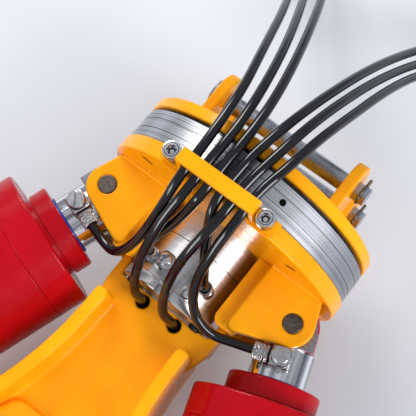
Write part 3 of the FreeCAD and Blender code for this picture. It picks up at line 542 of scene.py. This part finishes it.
def make_hose(number):
    piece = wire("hose_tube_%d" % number, HOSE_ROUTES[number], HOSE_RADIUS, "base", "black_rubber")
    piece.data.splines[0].resolution_u = 16
    piece.data.bevel_resolution = 8
    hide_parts("hose_%d" % number)
    union = make_union(number)


# ---------------------------------------------------------------- cylinder fittings
def fitting_frame(rear):
    """Matrix from a fitting drawn round +Z to the cylinder's own drawing."""
    seat = Matrix.Translation((0, -FITTING_STATION, 0))
    if rear:
        return seat @ Matrix.Rotation(-REAR_TURN, 4, "Z") @ Matrix.Diagonal((1, 1, -1, 1))
    return seat


def knurled_nut(name, side, rear, body):
    """Hose nut with a diamond knurl, a groove near its root and a bore for the hose."""
    bm = bmesh.new()
    radius = 2.6
    segments = 120
    rows = 34
    span = 4.7
    level = REAR_LEVEL if rear else FRONT_LEVEL
    to_side = fitting_frame(rear) @ Matrix.Translation((-3.9, 0, level))
    to_side = to_side @ Matrix.Rotation(-math.pi / 2, 4, "Y")
    rings = []
    for row in range(rows + 1):
        height = span * row / rows
        ring = []
        for i in range(segments):
            angle = 2 * math.pi * i / segments
            grid_a = abs(math.sin(11 * angle + height * 3.6))
            grid_b = abs(math.sin(11 * angle - height * 3.6))
            level_r = radius - 0.34 * (1 - min(1.0, 1.6 * min(grid_a, grid_b)))
            if 1.0 < height < 1.5:
                level_r = radius - 0.35
            if row in (0, rows):
                level_r = radius - 0.3
            point = Vector((level_r * math.cos(angle), level_r * math.sin(angle), height))
            ring.append(bm.verts.new(to_side @ point))
        rings.append(ring)
    for bore_r, height in ((1.9, span), (1.8, span - 0.1), (1.8, span - 2.4)):
        ring = []
        for i in range(segments):
            angle = 2 * math.pi * i / segments
            point = Vector((bore_r * math.cos(angle), bore_r * math.sin(angle), height))
            ring.append(bm.verts.new(to_side @ point))
        rings.append(ring)
    capped(bm, rings)
    return add_mesh(name, bm, body, "brushed_steel", cylinder_frame(side), math.radians(20), "fitting")


def bevelled_block(bm, half, low, high, edge, move):
    """Square block with rounded edges, from one level to another along Z."""
    made = bmesh.ops.create_cube(bm, size=1.0)["verts"]
    for vert in made:
        x, y, z = vert.co
        vert.co = (2 * half * x, 2 * half * y, low + (high - low) * (z + 0.5))
    edges = list({e for vert in made for e in vert.link_edges})
    result = bmesh.ops.bevel(bm, geom=edges, offset=edge, segments=3, affect="EDGES", profile=0.5)
    block = {vert for face in result["faces"] for vert in face.verts}
    for vert in block:
        vert.co = move @ vert.co


def banjo(name, side, rear, slotted, body):
    """Banjo block on the rod, with its bolt's head, washer, post and the spout to the nut, and thin dark
    rings of painted shadow between them.
    """
    bm = bmesh.new()
    level = REAR_LEVEL if rear else FRONT_LEVEL
    move = fitting_frame(rear)
    lathe(bm, [(2.3, 8.0), (2.3, level - 4.2)], 48, move)
    bevelled_block(bm, 3.1, level - 4.1, level + 2.0, 0.5, move)
    lathe(bm, [(3.0, level + 1.9), (3.2, level + 2.0), (3.2, level + 2.35), (3.0, level + 2.45)], 64, move)
    if not slotted:
        hexagon_nut(bm, 5.5, level + 2.4, level + 4.35, move)
        lathe(bm, [(2.2, level + 4.3), (2.2, level + 4.45), (2.05, level + 4.55), (1.2, level + 4.5)],
              48, move)
    spout = move @ Matrix.Translation((0, 0, level)) @ Matrix.Rotation(-math.pi / 2, 4, "Y")
    lathe(bm, [(2.3, 2.9), (2.3, 3.35), (1.95, 3.45), (1.95, 3.75), (2.1, 3.95)], 48, spout)
    piece = add_mesh(name, bm, body, "brushed_steel", cylinder_frame(side), look="fitting")
    # painted shadow: thin near-black rings under the bolt's head and at the spout's end
    painted_shadow_rings = bmesh.new()
    turned_shell(painted_shadow_rings, [(2.2, level + 2.42), (3.0, level + 2.42), (3.0, level + 2.55), (2.2, level + 2.55)],
                 48, move)
    turned_shell(painted_shadow_rings, [(1.9, 3.45), (2.35, 3.45), (2.35, 3.8), (1.9, 3.8)], 48, spout)
    add_mesh(name + "_gaps", painted_shadow_rings, body, "black_rubber", cylinder_frame(side), look="joint_dark_and_painted_shade")
    if slotted:
        bolt = bmesh.new()
        slotted_head(bolt, level, move)
        add_mesh(name + "_bolt", bolt, body, "brushed_steel", cylinder_frame(side), look="fitting")
    return piece


def slotted_head(bm, level, move):
    """Round bolt head with a straight slot across it."""
    radius = 2.85
    slot_half = 0.45
    turn = move @ Matrix.Rotation(math.radians(35), 4, "Z")
    steps = 28
    reach = math.asin(slot_half / radius)
    for half in (0, math.pi):
        angles = [half + reach + (math.pi - 2 * reach) * i / steps for i in range(steps + 1)]
        levels = ((2.7, level + 2.4), (radius, level + 2.6), (radius, level + 4.1),
                  (radius - 0.25, level + 4.4))
        rings = []
        for r, height in levels:
            rings.append([bm.verts.new(turn @ Vector((r * math.cos(a), r * math.sin(a), height)))
                          for a in angles])
        for low, high in zip(rings, rings[1:]):
            for i in range(steps):
                bm.faces.new((low[i], low[i + 1], high[i + 1], high[i]))
            bm.faces.new((low[-1], low[0], high[0], high[-1]))
        bm.faces.new(list(reversed(rings[0])))
        bm.faces.new(rings[-1])
    lathe(bm, [(2.6, level + 2.4), (2.6, level + 3.5)], 48, turn)


def make_cylinder_fittings():
    for word, side in SIDES.items():
        body = word + "_rod"
        for place, rear in (("front", False), ("rear", True)):
            nut = knurled_nut("%s_%s_nut" % (word, place), side, rear, body)
            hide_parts(word + "_hose_nuts")
            slotted = word == "left" and not rear
            fitting = banjo("%s_%s_banjo" % (word, place), side, rear, slotted, body)
            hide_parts(word + "_banjo_fittings")


# ---------------------------------------------------------------- screws
def clamp_head(side):
    x, y, z = CLAMP_SCREW
    return upright_on(side * x, y, z, (0, 0, 1))


def make_clamp_screws():
    bm = bmesh.new()
    for side in (-1, 1):
        socket_head(bm, 2.8, 3.0, 1.3, clamp_head(side))
        lathe(bm, [(1.45, -11.8), (1.45, 0.1)], 24, clamp_head(side))
    piece = add_mesh("clamp_bolts", bm, "base", "brushed_steel")
    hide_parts("clamp_screws")
    bm = bmesh.new()
    for side in (-1, 1):
        head = clamp_head(side)
        turned_shell(bm, [(0.75, 1.1), (1.28, 1.1), (1.28, 1.22), (0.75, 1.22)], 6, head)
        turned_shell(bm, [(1.95, 2.9), (2.15, 2.9), (2.15, 3.01), (1.95, 3.01)], 48, head)
    add_mesh("clamp_bolt_shadows", bm, "base", "black_rubber", look="joint_dark_and_painted_shade")


def make_hub_screws():
    bm = bmesh.new()
    for angle in range(30, 390, 60):
        x = 18 * math.cos(math.radians(angle))
        z = 18 * math.sin(math.radians(angle))
        socket_head(bm, 2.75, 3.0, 1.25, upright_on(x, 20.8, z, (0, 1, 0)))
    piece = add_mesh("hub_bolts", bm, "upper_mount", "black_screws")
    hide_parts("hub_screws")


def make_motor_screws():
    bm = bmesh.new()
    for angle in (20, 160, 200, 340):
        x = 12.9 * math.cos(math.radians(angle))
        z = 12.9 * math.sin(math.radians(angle))
        socket_head(bm, 1.9, 1.4, 0.9, upright_on(x, -28.3, z, (0, -1, 0)), 24)
    piece = add_mesh("motor_bolts", bm, "base", "black_screws")
    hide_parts("motor_screws")


# ---------------------------------------------------------------- motor details
def make_motor_fittings():
    bm = bmesh.new()
    nut_place = frame_move(-5.2, -19.0, 0)
    hexagon_nut(bm, 5.4, 13.4, 17.0, nut_place)
    lathe(bm, [(2.2, 17.0), (2.2, 17.25), (1.95, 17.35), (1.95, 18.2), (1.6, 18.6), (0.7, 18.75)],
          48, nut_place)
    side_place = frame_move(-11.4, -19.6, 0)
    hexagon_nut(bm, 4.6, 8.6, 12.6, side_place)
    lathe(bm, [(1.9, 12.5), (1.9, 14.9), (1.7, 15.15)], 40, side_place)
    turned_shell(bm, [(1.52, 15.1), (1.85, 15.1), (1.85, 15.5), (1.7, 15.7), (1.52, 15.6)], 40, side_place)
    bleed_place = frame_move(5.6, -22.6, 0)
    lathe(bm, [(1.9, 12.0), (1.9, 14.9), (1.7, 15.2), (1.2, 15.3), (1.2, 16.6), (1.0, 16.7), (1.0, 16.9),
               (1.2, 17.0), (1.2, 17.3), (0.9, 17.4)], 40, bleed_place)
    piece = add_mesh("motor_plugs", bm, "base", "brushed_steel")
    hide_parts("motor_fittings")

    bm = bmesh.new()
    port = frame_move(9.4, -18.6, 0)
    turned_shell(bm, [(1.53, 14.0), (2.5, 11.0), (2.5, 15.3), (2.3, 15.5), (2.3, 15.7), (2.5, 15.9),
                      (2.5, 16.4), (2.2, 16.8), (1.8, 16.8), (1.53, 16.5)], 64, port)
    piece = add_mesh("motor_port", bm, "base", "brushed_steel")
    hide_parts("motor_port_boss")


def make_motor_seams_and_shade_rings():
    """Fine dark joint lines between the motor's sections, and dark rings of painted shade round the bases of
    the nut and the plugs.
    """
    bm = bmesh.new()
    along = upright_on(0, 0, 0, (0, 1, 0))
    for y in (-9.8, -24.75):
        edge = [(MOTOR_RADIUS - 0.3, y - 0.11), (MOTOR_RADIUS + 0.03, y - 0.11),
                (MOTOR_RADIUS + 0.03, y + 0.11), (MOTOR_RADIUS - 0.3, y + 0.11)]
        turned_shell(bm, edge, 128, along)
    # painted shade: dark rings round the bases of the nut, the side plug and the bleed plug
    for x, y, radius, level in ((-5.2, -19.0, 2.95, 13.7), (-11.4, -19.6, 2.55, 9.7),
                                (5.6, -22.6, 2.05, 13.85)):
        turned_shell(bm, [(radius - 0.6, level - 0.4), (radius, level - 0.4), (radius, level + 0.25),
                          (radius - 0.6, level + 0.25)], 48, frame_move(x, y, 0))
    add_mesh("motor_joint_lines_and_shade_rings", bm, "base", "black_rubber", look="joint_dark_and_painted_shade")


def make_ring_seams_and_hole_shade():
    """Fine dark joint lines between the slewing ring's layers, two scribed lines, and a dark plug in the
    grease hole that paints the shade inside it.
    """
    bm = bmesh.new()
    along = upright_on(0, 0, 0, (0, 1, 0))
    for y, half in ((5.35, 0.1), (8.9, 0.09), (12.4, 0.09), (7.2, 0.04), (13.9, 0.04)):
        edge = [(RING_RADIUS - 0.3, y - half), (RING_RADIUS + 0.02, y - half),
                (RING_RADIUS + 0.02, y + half), (RING_RADIUS - 0.3, y + half)]
        turned_shell(bm, edge, 192, along)
    # painted shade: a near-black plug sunk in the grease hole
    hole = upright_on(0, 10.6, 0, (16.2, 0, 39.3))
    lathe(bm, [(0.98, RING_RADIUS - 1.2), (0.98, RING_RADIUS - 0.45)], 32, hole)
    add_mesh("ring_joint_lines_and_hole_shade", bm, "base", "black_rubber", look="joint_dark_and_painted_shade")


def make_frame_hole_shade():
    """Near-black plugs filling the holes where two hoses go through the frame: painted shade in the holes.
    """
    bm = bmesh.new()
    for side in (-1, 1):
        lathe(bm, [(2.26, -0.6), (2.26, 0.6)], 40, frame_move(side * 6.3, -31.7, 0))
    add_mesh("frame_hole_shade", bm, "base", "black_rubber", look="joint_dark_and_painted_shade")


def make_disc_slot_shade():
    """Small drain slots on the lower disc's underside, drawn as flat near-black patches that paint the shade
    inside them.
    """
    bm = bmesh.new()
    for x, z, angle in ((-26.0, 27.5, 20), (27.0, 24.6, -20), (38.0, 0.3, 90)):
        turn = Matrix.Rotation(math.radians(angle), 4, "Y")
        move = frame_move(x, 0, z) @ turn
        rings = []
        for y in (-0.06, 0.1):
            ring = []
            for i in range(32):
                a = 2 * math.pi * i / 32
                shift = 1.3 if math.cos(a) > 0 else -1.3
                ring.append(bm.verts.new(move @ Vector((shift + 0.55 * math.cos(a), y, 0.55 * math.sin(a)))))
            rings.append(ring)
        for i in range(32):
            j = (i + 1) % 32
            bm.faces.new((rings[0][i], rings[0][j], rings[1][j], rings[1][i]))
        bm.faces.new(rings[0])
        bm.faces.new(list(reversed(rings[1])))
    add_mesh("disc_slot_shade", bm, "base", "black_rubber", look="joint_dark_and_painted_shade")


# ---------------------------------------------------------------- painted parts
def make_painted_parts():
    softened("grab_frame", "base", 0.45, 10, 0.3)
    for word in SIDES:
        softened(word + "_clevis_bracket", "base", 0.3, 9, 0.3)
        softened(word + "_mount_ear", "upper_mount", 0.3, 7, 0.3)
        softened(word + "_jaw", word + "_jaw", 0.6, 8, 0.3)


def make_welds():
    """Beads under the paint where the brackets and ears meet the discs."""
    for word, side in SIDES.items():
        for level in (13.1, -13.1):
            points = [(side * x, -0.1, level) for x in (20.8, 26.0, 32.0, 38.0)]
            wire("%s_bracket_weld_%s" % (word, "front" if level > 0 else "rear"), points, 0.8, "base",
                 "yellow_enamel")
        points = [(side * 26.5, 20.9, z) for z in (-19.5, -8.0, 4.0, 19.5)]
        wire("%s_ear_weld" % word, points, 0.7, "upper_mount", "yellow_enamel")


# ---------------------------------------------------------------- spring clips
def make_clips():
    for word, z in (("front", 12.5), ("rear", -12.5)):
        x = EAR_OUTER_X + 2.3
        y = EAR_PIN_Y
        path = [(x, y - 3.6, z), (x, y - 1.5, z), (x, y + 2.4, z), (x, y + 3.8, z), (x, y + 5.2, z + 0.9),
                (x, y + 4.4, z + 2.4), (x, y + 3.2, z + 2.4), (x, y + 2.2, z + 2.8), (x, y + 1.0, z + 3.8),
                (x, y - 1.0, z + 3.8), (x, y - 2.2, z + 2.6), (x, y - 3.2, z + 2.9)]
        piece = wire("%s_spring_clip" % word, path, 0.42, "upper_mount", "brown_pin")
        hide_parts("mount_pin_clips")


# ---------------------------------------------------------------- table and lights
def make_stage():
    bm = bmesh.new()
    bmesh.ops.create_grid(bm, x_segments=1, y_segments=1, size=4.0)
    mesh = bpy.data.meshes.new("table")
    bm.to_mesh(mesh)
    bm.free()
    shader = Shader("table")
    plain = shader.coords.outputs["Object"]
    shader.link(shader.ramp(shader.noise(plain, 9.0), (0.6, 0.63, 0.67), (0.62, 0.645, 0.69)), "Base Color")
    shader.link(shader.ramp(shader.noise(plain, 30.0), 0.45, 0.55), "Roughness")
    mesh.materials.append(shader.material)
    table = bpy.data.objects.new("table", mesh)
    table.location.z = -0.0002
    scene.collection.objects.link(table)


def area_light(name, place, size, power, tint):
    """Soft box that points at the middle of the object."""
    data = bpy.data.lights.new(name, "AREA")
    data.shape = "RECTANGLE"
    data.size, data.size_y = size
    data.energy = power
    data.color = tint
    lamp = bpy.data.objects.new(name, data)
    aim = Vector((0.0, 0.05, 0.04)) - Vector(place)
    lamp.rotation_mode = "QUATERNION"
    lamp.rotation_quaternion = aim.to_track_quat("-Z", "Y")
    lamp.location = place
    scene.collection.objects.link(lamp)


def make_lights():
    world = bpy.data.worlds.new("studio")
    world.use_nodes = True
    background = world.node_tree.nodes["Background"]
    background.inputs["Color"].default_value = (0.9, 0.93, 1.0, 1.0)
    background.inputs["Strength"].default_value = 0.58
    scene.world = world
    area_light("key", (-0.7, 0.55, 0.6), (0.5, 0.4), 7.6, (1.0, 0.98, 0.96))
    area_light("side", (0.85, 0.0, 0.5), (0.35, 0.6), 8.0, (0.97, 0.98, 1.0))
    area_light("front", (-0.3, -0.85, 0.45), (0.7, 0.25), 5.0, (1.0, 1.0, 1.0))


# ---------------------------------------------------------------- build
make_camera()
materials = make_materials()
paint_cad_nodes()
for hose_number in HOSE_ROUTES:
    make_hose(hose_number)
make_cylinder_fittings()
make_clamp_screws()
make_hub_screws()
make_motor_screws()
make_motor_fittings()
make_motor_seams_and_shade_rings()
make_ring_seams_and_hole_shade()
make_frame_hole_shade()
make_disc_slot_shade()
make_painted_parts()
make_welds()
make_clips()
make_stage()
make_lights()
